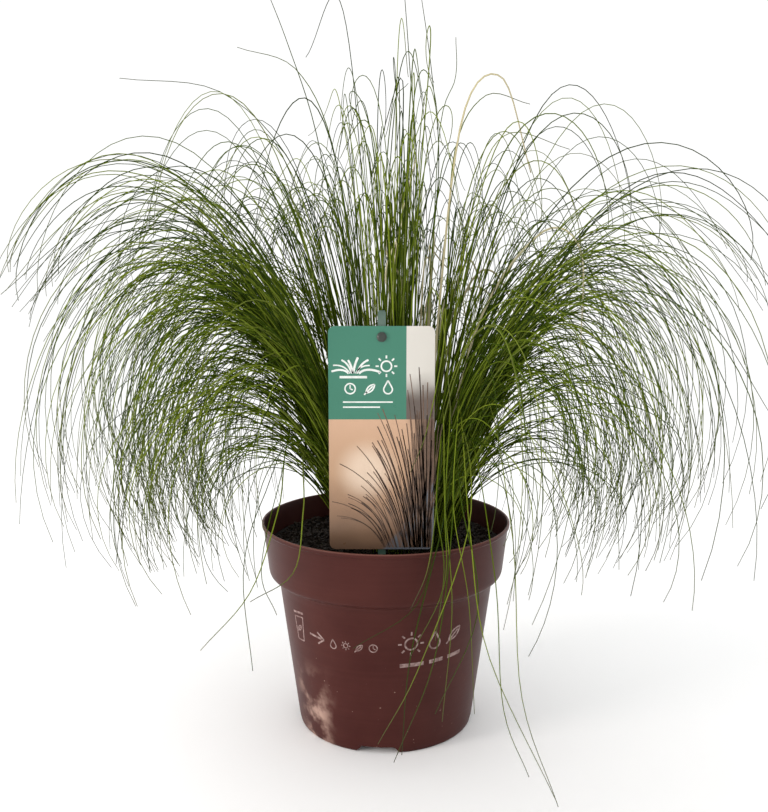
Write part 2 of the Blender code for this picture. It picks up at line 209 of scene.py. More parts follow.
def rounded(outline, radius, steps=4):
    """An outline whose corners are quadratic arcs that start and end a radius from each corner."""
    outline = np.array(outline, float)
    made = [outline[0]]
    share = np.linspace(0, 1, steps + 1)[:, None]
    for before, corner, after in zip(outline, outline[1:], outline[2:]):
        back, on = before - corner, after - corner
        reach = min(radius, np.linalg.norm(back) * 0.45, np.linalg.norm(on) * 0.45)
        start = corner + back / np.linalg.norm(back) * reach
        end = corner + on / np.linalg.norm(on) * reach
        made.extend((1 - share) ** 2 * start + 2 * share * (1 - share) * corner + share ** 2 * end)
    made.append(outline[-1])
    return np.array(made)


pot_outside = [
    (0.0, PLATE_HEIGHT), (FOOT_RADIUS - 0.0045, PLATE_HEIGHT), (FOOT_RADIUS - 0.0042, 0),
    (FOOT_RADIUS + 0.0002, 0), (FOOT_RADIUS + 0.0012, 0.0040), (FOOT_RADIUS + 0.0137, BAND_FOOT - 0.0104),
    (FOOT_RADIUS + 0.0150, BAND_FOOT - 0.0050), (RIM_RADIUS - 0.0052, BAND_FOOT - 0.0018),
    (RIM_RADIUS - 0.0044, BAND_FOOT + 0.0010), (RIM_RADIUS - 0.0011, POT_HEIGHT - 0.0032),
    (RIM_RADIUS, POT_HEIGHT - 0.0026), (RIM_RADIUS, POT_HEIGHT - 0.0002)]
pot_inside = [
    (RIM_RADIUS - 0.0014, POT_HEIGHT), (RIM_RADIUS - 0.0021, POT_HEIGHT - 0.0030),
    (RIM_RADIUS - 0.0059, BAND_FOOT + 0.0015), (FOOT_RADIUS + 0.0179, BAND_FOOT - 0.0010),
    (FOOT_RADIUS + 0.0135, BAND_FOOT - 0.0055), (FOOT_RADIUS + 0.0113, BAND_FOOT - 0.0095),
    (FOOT_RADIUS - 0.0004, PLATE_HEIGHT + WALL + 0.0018), (FOOT_RADIUS - 0.0022, PLATE_HEIGHT + WALL),
    (0.0, PLATE_HEIGHT + WALL)]


def pot_surface():
    """Turn the wall's outline about Z. Below each notch's trapezoid the foot is lifted to its edge."""
    outline = rounded(pot_outside + pot_inside, 0.0016)
    outline[0, 0] = outline[-1, 0] = POLE_RADIUS
    turn = np.linspace(0, 2 * np.pi, POT_SIDES, endpoint=False)
    radius, turn = np.meshgrid(outline[:, 0], turn, indexing="ij")
    height = np.repeat(outline[:, 1][:, None], POT_SIDES, 1)
    from_notch = (turn - NOTCH_TURN + np.pi / 4) % (np.pi / 2) - np.pi / 4
    across = np.abs(from_notch) * FOOT_RADIUS
    notch = np.clip((NOTCH_HALF - across) / NOTCH_SLOPE, 0, 1) * (PLATE_HEIGHT - 0.0003)
    near_foot = (radius > FOOT_RADIUS - 0.006) & (height < PLATE_HEIGHT)
    height = np.where(near_foot, np.maximum(height, notch), height)
    points = np.stack([radius * np.cos(turn), radius * np.sin(turn), height], -1).reshape(-1, 3)
    return points, grid_faces(len(outline), POT_SIDES)


def pot_plastic():
    """Satin red-brown plastic: fine flow rings, faint dust, a pale lower-left patch that is partly dust and
    partly painted highlight, a painted highlight on the lip, and a darker inner face that is partly its own
    darker layer and partly painted shade.
    """
    finish = Finish("pot_plastic", 0.42, 0.13)
    where, (x, y, z) = finish.place()
    level = finish.add("ShaderNodeVectorMath", {"operation": "MULTIPLY"}, {0: where, 1: (1, 1, 0)})
    reach = finish.add("ShaderNodeVectorMath", {"operation": "LENGTH"}, {0: level}, 1)
    rings = finish.noise(where, 60, 6, (0.15, 0.15, 9))
    cloud = finish.noise(where, 34, 5)
    grain = finish.noise(where, 2600, 3)
    taper = (z - BAND_FOOT) * 0.11 + (RIM_RADIUS - 0.0053 - WALL / 2)
    body_taper = z * 0.135 + (FOOT_RADIUS + 0.0006 - WALL / 2)
    in_band = z > BAND_FOOT
    wall_middle = in_band * taper + (1 - in_band) * body_taper
    inside = (reach < wall_middle) * (z > PLATE_HEIGHT + WALL / 2)
    brown, warm_brown = (0.046, 0.0095, 0.0075), (0.064, 0.0160, 0.0125)
    colour = finish.ramp(cloud * 0.7 + rings * 0.3, (0.32, brown), (0.70, warm_brown))
    # A pale patch on the lower left front, partly dust and partly a painted highlight, and pale dust specks
    # near the foot.
    dust_and_highlight_zone = (0.062 - z).step(0.0, 0.050) * (-0.030 - x).step(0.0, 0.018) * (-0.020 - y).step(0.0, 0.02)
    smudge_and_painted_highlight = finish.noise(where, 70, 7).step(0.44, 0.70) * dust_and_highlight_zone
    specks = finish.noise(where, 520, 2).step(0.74, 0.78) * (0.07 - z).step(0.0, 0.02) * 0.5
    colour = finish.mix((smudge_and_painted_highlight * 0.8).math("MAXIMUM", specks), colour, (0.62, 0.42, 0.34))
    # A painted highlight: the top of the lip is painted paler.
    lip = (z - (POT_HEIGHT - 0.0011)).step(0.0, 0.0009)
    colour = finish.mix(lip * 0.55, colour, (0.22, 0.095, 0.075))
    # The inner face is painted near black: partly its own darker layer, partly painted shade.
    colour = finish.mix(inside * (1 - lip), colour, (0.0085, 0.0030, 0.0026))
    shine = cloud * 0.16 + 0.33 + inside * 0.3
    relief = grain * 0.35 + rings * 0.40
    return finish.set(Base_Color=colour, Roughness=shine, Normal=finish.bump(relief, 0.22, 0.0003))


pot = piece("pot_wall", *pot_surface(), pot_plastic())


def drain_cutters():
    """Eight upright cylinders on a ring: centre + r (cos, sin), for the holes in the raised plate."""
    centre_turn = NOTCH_TURN + (np.arange(DRAINS) + 0.5) * np.pi / 4
    side_turn = np.linspace(0, 2 * np.pi, DRAIN_SIDES, endpoint=False)
    centre = DRAIN_RING * np.stack([np.cos(centre_turn), np.sin(centre_turn)], -1)[:, None, None, :]
    rim = DRAIN_RADIUS * np.stack([np.cos(side_turn), np.sin(side_turn)], -1)[None, None, :, :]
    level = np.array([PLATE_HEIGHT - 0.002, PLATE_HEIGHT + WALL + 0.002])[None, :, None, None]
    flat = np.broadcast_to(centre + rim, (DRAINS, 2, DRAIN_SIDES, 2))
    points = np.concatenate([flat, np.broadcast_to(level, (DRAINS, 2, DRAIN_SIDES, 1))], -1)
    return points.reshape(-1, 3)


def cut_drains(target):
    """Cut the holes through the plate and keep the result as the piece's own mesh."""
    mesh = bpy.data.meshes.new("drains")
    side = np.arange(DRAIN_SIDES)
    after = (side + 1) % DRAIN_SIDES
    walls = np.stack([side, after, DRAIN_SIDES + after, DRAIN_SIDES + side], -1)
    faces = []
    for hole in range(DRAINS):
        low = hole * 2 * DRAIN_SIDES
        faces.append((low + side[::-1]).tolist())
        faces.append((low + DRAIN_SIDES + side).tolist())
        faces += (low + walls).tolist()
    mesh.from_pydata(drain_cutters().tolist(), [], faces)
    cutter = bpy.data.objects.new("drains", mesh)
    bpy.context.scene.collection.objects.link(cutter)
    boolean = target.modifiers.new("drains", "BOOLEAN")
    boolean.object = cutter
    boolean.operation = "DIFFERENCE"
    graph = bpy.context.evaluated_depsgraph_get()
    target.data = bpy.data.meshes.new_from_object(target.evaluated_get(graph))
    target.modifiers.clear()
    bpy.data.objects.remove(cutter)


def close_poles(target):
    """Merge the ring of points at each pole of a turned mesh into one point."""
    weld = target.modifiers.new("poles", "WELD")
    weld.merge_threshold = 0.00003
    graph = bpy.context.evaluated_depsgraph_get()
    target.data = bpy.data.meshes.new_from_object(target.evaluated_get(graph))
    target.modifiers.clear()


close_poles(pot)
cut_drains(pot)
pot.data.set_sharp_from_angle(angle=math.radians(40))
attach(pot, "root")
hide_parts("pot")

# The pot's print: pale pictograms stamped on the front of the body, a thin raised film of ink.
STROKE_POINTS = 9


def strokes(lines, surface):
    """Flat bars along many lines at once. A line is (u, v, u, v, ..., width) in mm, resampled evenly;
    each cross-section is (u, v) + or - half the width across the line, under and over the surface."""
    paths, halves = [], []
    for *flat, width in lines:
        knots = np.array(flat).reshape(-1, 2)
        run = np.concatenate([[0], np.cumsum(np.linalg.norm(np.diff(knots, axis=0), axis=1))])
        at = np.linspace(0, run[-1], STROKE_POINTS * 4)
        paths.append(np.stack([np.interp(at, run, knots[:, axis]) for axis in (0, 1)], -1))
        halves.append(width / 2)
    paths = np.array(paths) / 1000
    along = np.gradient(paths, axis=1)
    along /= np.linalg.norm(along, axis=2, keepdims=True) + 1e-12
    across = np.stack([-along[..., 1], along[..., 0]], -1) * (np.array(halves) / 1000)[:, None, None]
    edges = np.stack([paths - across, paths + across, paths + across, paths - across], 2)
    depth = np.broadcast_to(np.array([1, 1, 0, 0]), edges.shape[:3])
    points = surface(edges[..., 0], edges[..., 1], depth).reshape(-1, 3)
    count, rows = paths.shape[:2]
    start = rows * 4 * np.arange(count)[:, None, None]
    ends = np.array([(3, 2, 1, 0), (rows * 4 - 4, rows * 4 - 3, rows * 4 - 2, rows * 4 - 1)])
    sides = (grid_faces(rows, 4) + start).reshape(-1, 4)
    return points, np.concatenate([sides, (ends + start).reshape(-1, 4)])


def circle(u, v, radius, width, start=0, stop=360, turns=24):
    """One line round a centre, from one angle to another."""
    turn = np.radians(np.linspace(start, stop, turns))
    return (*np.stack([u + radius * np.cos(turn), v + radius * np.sin(turn)], -1).ravel(), width)


def sun(u, v, radius, width):
    """A ring with eight rays."""
    turns = np.arange(8) * np.pi / 4
    rays = [(u + radius * 1.5 * np.cos(turn), v + radius * 1.5 * np.sin(turn),
             u + radius * 2.1 * np.cos(turn), v + radius * 2.1 * np.sin(turn), width) for turn in turns]
    return [circle(u, v, radius, width), *rays]


def drop(u, v, radius, width):
    """A water drop: most of a circle, closed by two lines that meet at a point above."""
    round_part = circle(u, v, radius, width, 150, 390)
    right = (u + radius * 0.87, v + radius * 0.5, u, v + radius * 2.1, width)
    left = (u - radius * 0.87, v + radius * 0.5, u, v + radius * 2.1, width)
    return [round_part, right, left]


def leaf(u, v, size, width):
    """Two arcs that meet at both ends, and a rib."""
    bend = np.linspace(-1, 1, 15)
    bow = (1 - bend ** 2) * 0.42
    sides = []
    for way in (-1, 1):
        arc = np.stack([u + size * (bend + way * bow) * 0.7, v + size * (bend - way * bow) * 0.7], -1)
        sides.append((*arc.ravel(), width))
    return [*sides, (u - size, v - size, u + size * 0.4, v + size * 0.4, width)]


def on_pot(u, v, over):
    """u runs round the body from its front, v is the height, and the ink is 0.12 mm thick."""
    radius = FOOT_RADIUS + 0.0012 + (v - 0.004) * 0.0125 / 0.094 + over * 0.00012 - 0.00005
    turn = u / (FOOT_RADIUS + 0.0105)
    return np.stack([radius * np.sin(turn), -radius * np.cos(turn), v], -1)


pot_lines = [
    (-70, 90, -59, 91, 1.5), (-69, 87, -68, 71, 0.9), (-68, 71, -61.5, 71, 0.9), (-61.5, 71, -60, 88, 0.9),
    (-69, 87, -60, 88, 0.9), *leaf(-64.6, 79.5, 3.0, 0.7),
    (-54, 79, -44, 77.5, 1.4), (-47, 81.5, -42, 77.2, 1.1), (-47.2, 73.6, -42, 77.2, 1.1),
    *drop(-35, 75, 2.1, 0.7), *sun(-26, 76.5, 1.5, 0.6), *leaf(-17, 76, 3.2, 0.7),
    circle(-8, 76.4, 2.6, 0.7), (-8, 76.4, -8, 78.3, 0.6), (-8, 76.4, -6.6, 75.6, 0.6),
    *sun(16, 79, 4.0, 1.1), *drop(32, 77.5, 3.8, 1.1), *leaf(47, 81, 6.0, 1.1),
    (9, 64, 25, 64.4, 2.6), (29, 64.6, 39, 65.2, 2.6), (43, 65.4, 54, 66.4, 2.6)]


def pot_ink():
    """Thin pale ink, worn through in places to the brown under it."""
    finish = Finish("pot_ink", 0.6, 0.2)
    where, _ = finish.place()
    worn = finish.noise(where, 420, 5)
    colour = finish.ramp(worn, (0.35, (0.150, 0.085, 0.078)), (0.62, (0.330, 0.235, 0.220)))
    return finish.set(Base_Color=colour, Roughness=0.5 + worn * 0.2)


pot_print = piece("pot_print", *strokes(pot_lines, on_pot), pot_ink(), False)
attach(pot_print, "root")

# The soil: dark, fibrous potting compost that fills the pot to about 15 mm below the lip. Its top is
# lumpy, with crumbs of bark lying on it.
SOIL_LOW, SOIL_HIGH = (np.array(corner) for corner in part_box("soil"))
SOIL_TOP = POT_HEIGHT - 0.015
SOIL_RADIUS = SOIL_HIGH[0] - 0.0003
CROWN = np.array([0.008, -0.002])
CRUMBS = 2600


def lumps(x, y, seed, octaves=4, scale=110.0):
    """A sum of waves in random directions. From octave to octave the waves get 1.9 times as close and
    1.55 times as low, and each is bent a little by the sum before it."""
    dice = np.random.default_rng(seed)
    total = np.zeros_like(x)
    for octave in range(octaves):
        for turn, shift in zip(dice.uniform(0, 2 * np.pi, 5), dice.uniform(0, 2 * np.pi, 5)):
            along = x * np.cos(turn) + y * np.sin(turn)
            wave = np.sin(along * scale * 1.9 ** octave + shift + 1.5 * np.sin(total))
            total += wave / (5 * 1.55 ** octave)
    return total


def soil_height(x, y):
    """A low mound with crumbly lumps."""
    from_axis = np.hypot(x, y) / RIM_RADIUS
    return SOIL_TOP - 0.0016 * from_axis ** 2 + 0.0011 * lumps(x, y, 3)


def soil_surface(rings=110, sides=300):
    """A polar grid under soil_height, with a skirt down the wall and a flat underside."""
    share = np.concatenate([np.linspace(0.0008, 1, rings), [1, 0.86, 0.76, 0.0008]])
    turn = np.linspace(0, 2 * np.pi, sides, endpoint=False)
    share, turn = np.meshgrid(share, turn, indexing="ij")
    x = share * SOIL_RADIUS * np.cos(turn)
    y = share * SOIL_RADIUS * np.sin(turn)
    height = soil_height(x, y)
    height[rings] = BAND_FOOT + 0.004
    x[rings] *= 0.955
    y[rings] *= 0.955
    height[rings + 1] = BAND_FOOT - 0.012
    height[rings + 2:] = SOIL_LOW[2] + 0.0004
    points = np.stack([x, y, height], -1).reshape(-1, 3)
    return points, grid_faces(rings + 4, sides)[:, ::-1]


def compost(name, dark, light, scale):
    """Rough dark compost, blotched from black to brown."""
    finish = Finish(name, 0.92, 0.25)
    where, _ = finish.place()
    blotch = finish.noise(where, scale, 8)
    fine = finish.noise(where, scale * 7, 5)
    colour = finish.ramp(blotch * 0.55 + fine * 0.45, (0.35, dark), (0.72, light))
    return finish.set(Base_Color=colour, Roughness=0.97 - fine * 0.25, Normal=finish.bump(fine, 0.8, 0.0008))


moist = compost("potting_soil", (0.003, 0.0022, 0.002), (0.024, 0.016, 0.012), 260)
soil = piece("soil_top", *soil_surface(), moist)
close_poles(soil)
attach(soil, "root")
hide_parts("soil")


def crumbs(count, seed):
    """Eight-cornered crumbs: boxes with uneven corners, turned at random and half sunk in the soil."""
    dice = np.random.default_rng(seed)
    cube = np.array([(x, y, z) for z in (-1, 1) for x, y in ((-1, -1), (1, -1), (1, 1), (-1, 1))], float)
    faces = np.array([(3, 2, 1, 0), (4, 5, 6, 7), (0, 1, 5, 4), (1, 2, 6, 5), (2, 3, 7, 6), (3, 0, 4, 7)])
    from_axis = (RIM_RADIUS - 0.009) * np.sqrt(dice.uniform(0.03, 1, count))
    turn = dice.uniform(0, 2 * np.pi, count)
    x, y = from_axis * np.cos(turn), from_axis * np.sin(turn)
    size = dice.uniform(0.0005, 0.0015, (count, 1, 3)) * dice.uniform(0.6, 1.5, (count, 1, 1))
    corners = cube * size * dice.uniform(0.6, 1.1, (count, 8, 3))
    spin = dice.uniform(0, 2 * np.pi, count)
    cos, sin = np.cos(spin)[:, None], np.sin(spin)[:, None]
    corners = np.stack([corners[..., 0] * cos - corners[..., 1] * sin,
                        corners[..., 0] * sin + corners[..., 1] * cos,
                        corners[..., 2] + corners[..., 0] * 0.3], -1)
    corners += np.stack([x, y, soil_height(x, y) + 0.0004], -1)[:, None]
    return corners.reshape(-1, 3), (faces + 8 * np.arange(count)[:, None, None]).reshape(-1, 4)


dry = compost("bark_crumbs", (0.005, 0.0035, 0.003), (0.052, 0.031, 0.020), 420)
bark = piece("soil_crumbs", *crumbs(CRUMBS, 8), dry, False)
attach(bark, "root")

# The grass: hair-fine rolled blades that stand in one crown and arch out in a fountain. Every bunch
# of shoots is a piece. Green blades have paler sheaths and thin grey-brown tips.
STRAND_POINTS = 26
STRAND_SIDES = 3
STRAND_WIDTH = 0.00092
STRAND_TIP = 0.0004
ROOT_DEPTH = 0.004
CROWN_RING = 0.027
CROWN_RADIUS = 0.0125
SPREAD = (0.262, 0.178)
LABEL_LOW, LABEL_HIGH = (np.array(corner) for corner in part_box("label"))


def crown_of(sector):
    """Centre and radius of a tuft's crown, which fits inside its sector of angles."""
    middle, half = np.radians(sum(sector) / 2), np.radians((sector[1] - sector[0]) / 2)
    centre = CROWN + CROWN_RING * np.array([np.cos(middle), np.sin(middle)])
    return centre, min(CROWN_RADIUS, CROWN_RING * np.sin(half))


def arches(count, sector, lean, rise, reach, drop, curl, dice):
    """Bezier arches from the crown: flat distances (0, handle tan lean, curl reach, reach) and heights
    (0, handle, shoulder, rise - drop), whose handle lifts the arch's top to the rise, in an upright
    plane that turns a little from root to tip, with a slow sideways wave."""
    centre, radius = crown_of(sector)
    middle = np.radians(sum(sector) / 2)
    half = np.radians((sector[1] - sector[0]) / 2)
    turn = middle + half * dice.uniform(-1.1, 1.1, count)
    end_turn = turn + dice.normal(0, 0.10, count)
    size = dice.random(count) ** 1.5
    rise, reach = (low + (high - low) * np.clip(0.72 * size + 0.28 * dice.random(count), 0, 1)
                   for low, high in (rise, reach))
    drop = drop[0] + (drop[1] - drop[0]) * (0.6 * size + 0.4 * dice.random(count) ** 1.4)
    lean = np.radians(dice.uniform(*lean, count))
    curl = dice.uniform(*curl, count)
    outward = dice.uniform(-1.0, 0.9, count)
    aside = dice.uniform(-1.0, 1.0, count) * np.sqrt(1 - outward ** 2)
    root_x = centre[0] + radius * (outward * np.cos(middle) - aside * np.sin(middle))
    root_y = centre[1] + radius * (outward * np.sin(middle) + aside * np.cos(middle))
    tip = rise - drop
    shoulder = tip + (0.70 + 0.15 * dice.random(count)) * drop
    handle = (rise - 0.334 * shoulder - 0.091 * tip) / 0.408
    t = np.linspace(0, 1, STRAND_POINTS)[None]
    weights = ((1 - t) ** 3, 3 * t * (1 - t) ** 2, 3 * t * t * (1 - t), t ** 3)
    flats = (0 * reach, np.minimum(handle * np.tan(lean), reach * 0.45), reach * curl, reach)
    highs = (0 * reach, handle, shoulder, tip)
    away = sum(weight * value[:, None] for weight, value in zip(weights, flats))
    up = sum(weight * value[:, None] for weight, value in zip(weights, highs))
    angle = turn[:, None] + (end_turn - turn)[:, None] * t
    wave = dice.normal(0, 0.0045, count)[:, None] * np.sin(t * dice.uniform(3, 8, count)[:, None]) * t
    x = root_x[:, None] + away * np.cos(angle) - wave * np.sin(angle)
    y = root_y[:, None] + away * np.sin(angle) + wave * np.cos(angle)
    return np.stack([x, y, SOIL_TOP - ROOT_DEPTH + up], -1)


def clear_of_rest(paths):
    """Which arches stay in the clump's width and miss the rim, the label and the floor."""
    x, y, z = paths[..., 0], paths[..., 1], paths[..., 2]
    from_axis = np.hypot(x, y)
    from_crown = np.hypot(x - CROWN[0], y - CROWN[1])
    in_rim = (z < POT_HEIGHT + 0.002) & (from_axis < RIM_RADIUS + 0.0015)
    in_rim &= from_crown > CROWN_RING + 0.020
    near_label = (x > LABEL_LOW[0] - 0.003) & (x < LABEL_HIGH[0] + 0.003) & (z < LABEL_HIGH[2] + 0.012)
    in_label = near_label & (y < LABEL_HIGH[1] + 0.0045)
    in_label &= (y > LABEL_LOW[1] - 0.003) | (x < LABEL_HIGH[0] - 0.010)
    too_wide = (np.abs(x) > SPREAD[0]) | (np.abs(y) > SPREAD[1])
    return ~(in_rim | in_label | too_wide | (z < 0.003)).any(1)


def strand_tubes(paths, width, tip_width, dice):
    """Three-sided tapering tubes along many paths at once. Each ring is p + w (cos a side + sin a up),
    where side is level and up is at right angles to the path."""
    count = len(paths)
    along = np.gradient(paths, axis=1)
    along /= np.linalg.norm(along, axis=2, keepdims=True) + 1e-12
    level = paths[:, -1, :2] - paths[:, 0, :2]
    side = np.stack([-level[:, 1], level[:, 0], np.zeros(count)], -1)
    side /= np.linalg.norm(side, axis=1, keepdims=True) + 1e-9
    side = side[:, None] - along * (along * side[:, None]).sum(2, keepdims=True)
    side /= np.linalg.norm(side, axis=2, keepdims=True) + 1e-12
    up = np.cross(side, along)
    t = np.linspace(0, 1, STRAND_POINTS)[None, :]
    size = width * dice.uniform(0.7, 1.25, count)[:, None]
    half = (size + (tip_width - size) * t ** 1.2) / 2
    turn = 2 * np.pi * np.arange(STRAND_SIDES) / STRAND_SIDES + np.pi / 6
    cos, sin = np.cos(turn)[None, None, :, None], np.sin(turn)[None, None, :, None]
    ring = cos * side[:, :, None] + sin * up[:, :, None]
    points = paths[:, :, None] + ring * half[:, :, None, None]
    sides = grid_faces(STRAND_POINTS, STRAND_SIDES)[:, ::-1]
    start = STRAND_POINTS * STRAND_SIDES * np.arange(count)
    faces = (sides + start[:, None, None]).reshape(-1, 4)
    shade = dice.random(count)
    uv = np.stack(np.broadcast_arrays(t[..., None], shade[:, None, None]), -1)
    uv = np.broadcast_to(uv, (count, STRAND_POINTS, STRAND_SIDES, 2)).reshape(-1, 2)
    return points.reshape(-1, 3), faces, uv


def cap_ends(count):
    """Close both ends of every strand with one triangle."""
    start = STRAND_POINTS * STRAND_SIDES * np.arange(count)
    low = start[:, None] + np.array([0, 1, 2])
    high = start[:, None] + (STRAND_POINTS - 1) * STRAND_SIDES + np.array([2, 1, 0])
    return np.concatenate([low, high])


def strand_piece(name, paths, width, tip_width, material, seed):
    """One tuft's strands as a mesh with a UV map: u runs from root to tip, v tells strands apart."""
    points, faces, uv = strand_tubes(paths, width, tip_width, np.random.default_rng(seed))
    caps = cap_ends(len(paths))
    mesh = bpy.data.meshes.new(name)
    corners = np.concatenate([faces.ravel(), caps.ravel()]).astype(np.int32)
    starts = np.concatenate([4 * np.arange(len(faces)), faces.size + 3 * np.arange(len(caps))])
    mesh.vertices.add(len(points))
    mesh.vertices.foreach_set("co", points.astype(np.float32).ravel())
    mesh.loops.add(len(corners))
    mesh.loops.foreach_set("vertex_index", corners)
    mesh.polygons.add(len(starts))
    mesh.polygons.foreach_set("loop_start", starts.astype(np.int32))
    mesh.polygons.foreach_set("use_smooth", np.full(len(starts), True))
    mesh.update(calc_edges=True)
    strand_map = mesh.uv_layers.new(name="strand")
    strand_map.data.foreach_set("uv", uv[corners].astype(np.float32).ravel())
    mesh.materials.append(material)
    made = bpy.data.objects.new(name, mesh)
    bpy.context.scene.collection.objects.link(made)
    return made


def blade_finish(name, root, dark, middle, light, tip):
    """A fine leaf's satin green: each strand has its own shade, is paler at the root and dry at the tip."""
    finish = Finish(name, 0.5, 0.05)
    uv = finish.add("ShaderNodeUVMap", {"uv_map": "strand"})
    along = finish.add("ShaderNodeSeparateXYZ", None, {0: uv}, 0)
    shade = finish.add("ShaderNodeSeparateXYZ", None, {0: uv}, 1)
    where, _ = finish.place()
    patch = finish.noise(where, 16, 3)
    fleck = finish.noise(where, 220, 2)
    own = shade * 0.80 + patch * 0.30 + fleck * 0.12 - 0.12
    colour = finish.ramp(own, (0.10, dark), (0.50, middle), (0.80, light), (1.0, tip))
    colour = finish.mix((0.16 - along).step(0.0, 0.16) * 0.75, colour, root)
    colour = finish.mix((along - 0.62).step(0.0, 0.38) * (0.30 + shade * 0.5), colour, tip)
    return finish.set(Base_Color=colour, Roughness=0.42 + fleck * 0.2)


green = blade_finish("green_blades", (0.130, 0.175, 0.010), (0.014, 0.030, 0.001), (0.058, 0.098, 0.002),
                     (0.190, 0.245, 0.022), (0.060, 0.058, 0.040))

# The six kinds of strand, each with the least and most of: lean in degrees, rise, reach, drop, curl.
KINDS = {
    "spouting": ((10, 40), (0.13, 0.23), (0.12, 0.24), (0.09, 0.20), (0.95, 1.35)),
    "sweeping": ((15, 45), (0.15, 0.27), (0.13, 0.24), (0.01, 0.09), (0.80, 1.05)),
    "falling": ((10, 35), (0.10, 0.21), (0.08, 0.17), (0.07, 0.19), (1.30, 1.60)),
    "low": ((30, 60), (0.06, 0.14), (0.08, 0.18), (0.04, 0.14), (1.00, 1.50)),
    "tall": ((4, 20), (0.20, 0.31), (0.06, 0.16), (0.02, 0.11), (0.85, 1.15)),
    "upright": ((2, 12), (0.15, 0.34), (0.01, 0.08), (0.00, 0.03), (0.70, 1.00)),
}

# Each tuft has its sector of angles, and how many strands of each kind it holds.
TUFTS = {
    "tuft_right": ((-22, 20), (45, 35, 60, 40, 12, 0)),
    "tuft_back_right": ((20, 60), (25, 30, 20, 0, 20, 6)),
    "tuft_back": ((60, 108), (30, 20, 15, 0, 35, 25)),
    "tuft_back_left": ((108, 142), (25, 30, 20, 0, 30, 12)),
    "tuft_left_back": ((142, 168), (30, 45, 30, 10, 15, 0)),
    "tuft_left": ((168, 204), (60, 75, 90, 65, 15, 0)),
    "tuft_left_front": ((204, 228), (15, 20, 20, 20, 0, 0)),
    "tuft_front": ((228, 293), (0, 0, 0, 0, 20, 45)),
    "tuft_front_right": ((293, 338), (20, 15, 35, 20, 5, 0)),
}


def drawn(sector, rows, seed):
    """Draw each row's strands and keep those that are clear of the rest, up to the row's number."""
    dice = np.random.default_rng(seed)
    kept = []
    for count, *limits in rows:
        paths = arches(count * 3, sector, *limits, dice)
        kept.append(paths[clear_of_rest(paths)][:count])
    return np.concatenate(kept)


for number, (node, (sector, counts)) in enumerate(TUFTS.items()):
    rows = [(count, *limits) for count, limits in zip(counts, KINDS.values()) if count]
    paths = drawn(sector, rows, 40 + number)
    tuft = strand_piece(node + "_strands", paths, STRAND_WIDTH, STRAND_TIP, green, number)
    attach(tuft, "root")
    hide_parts(node)
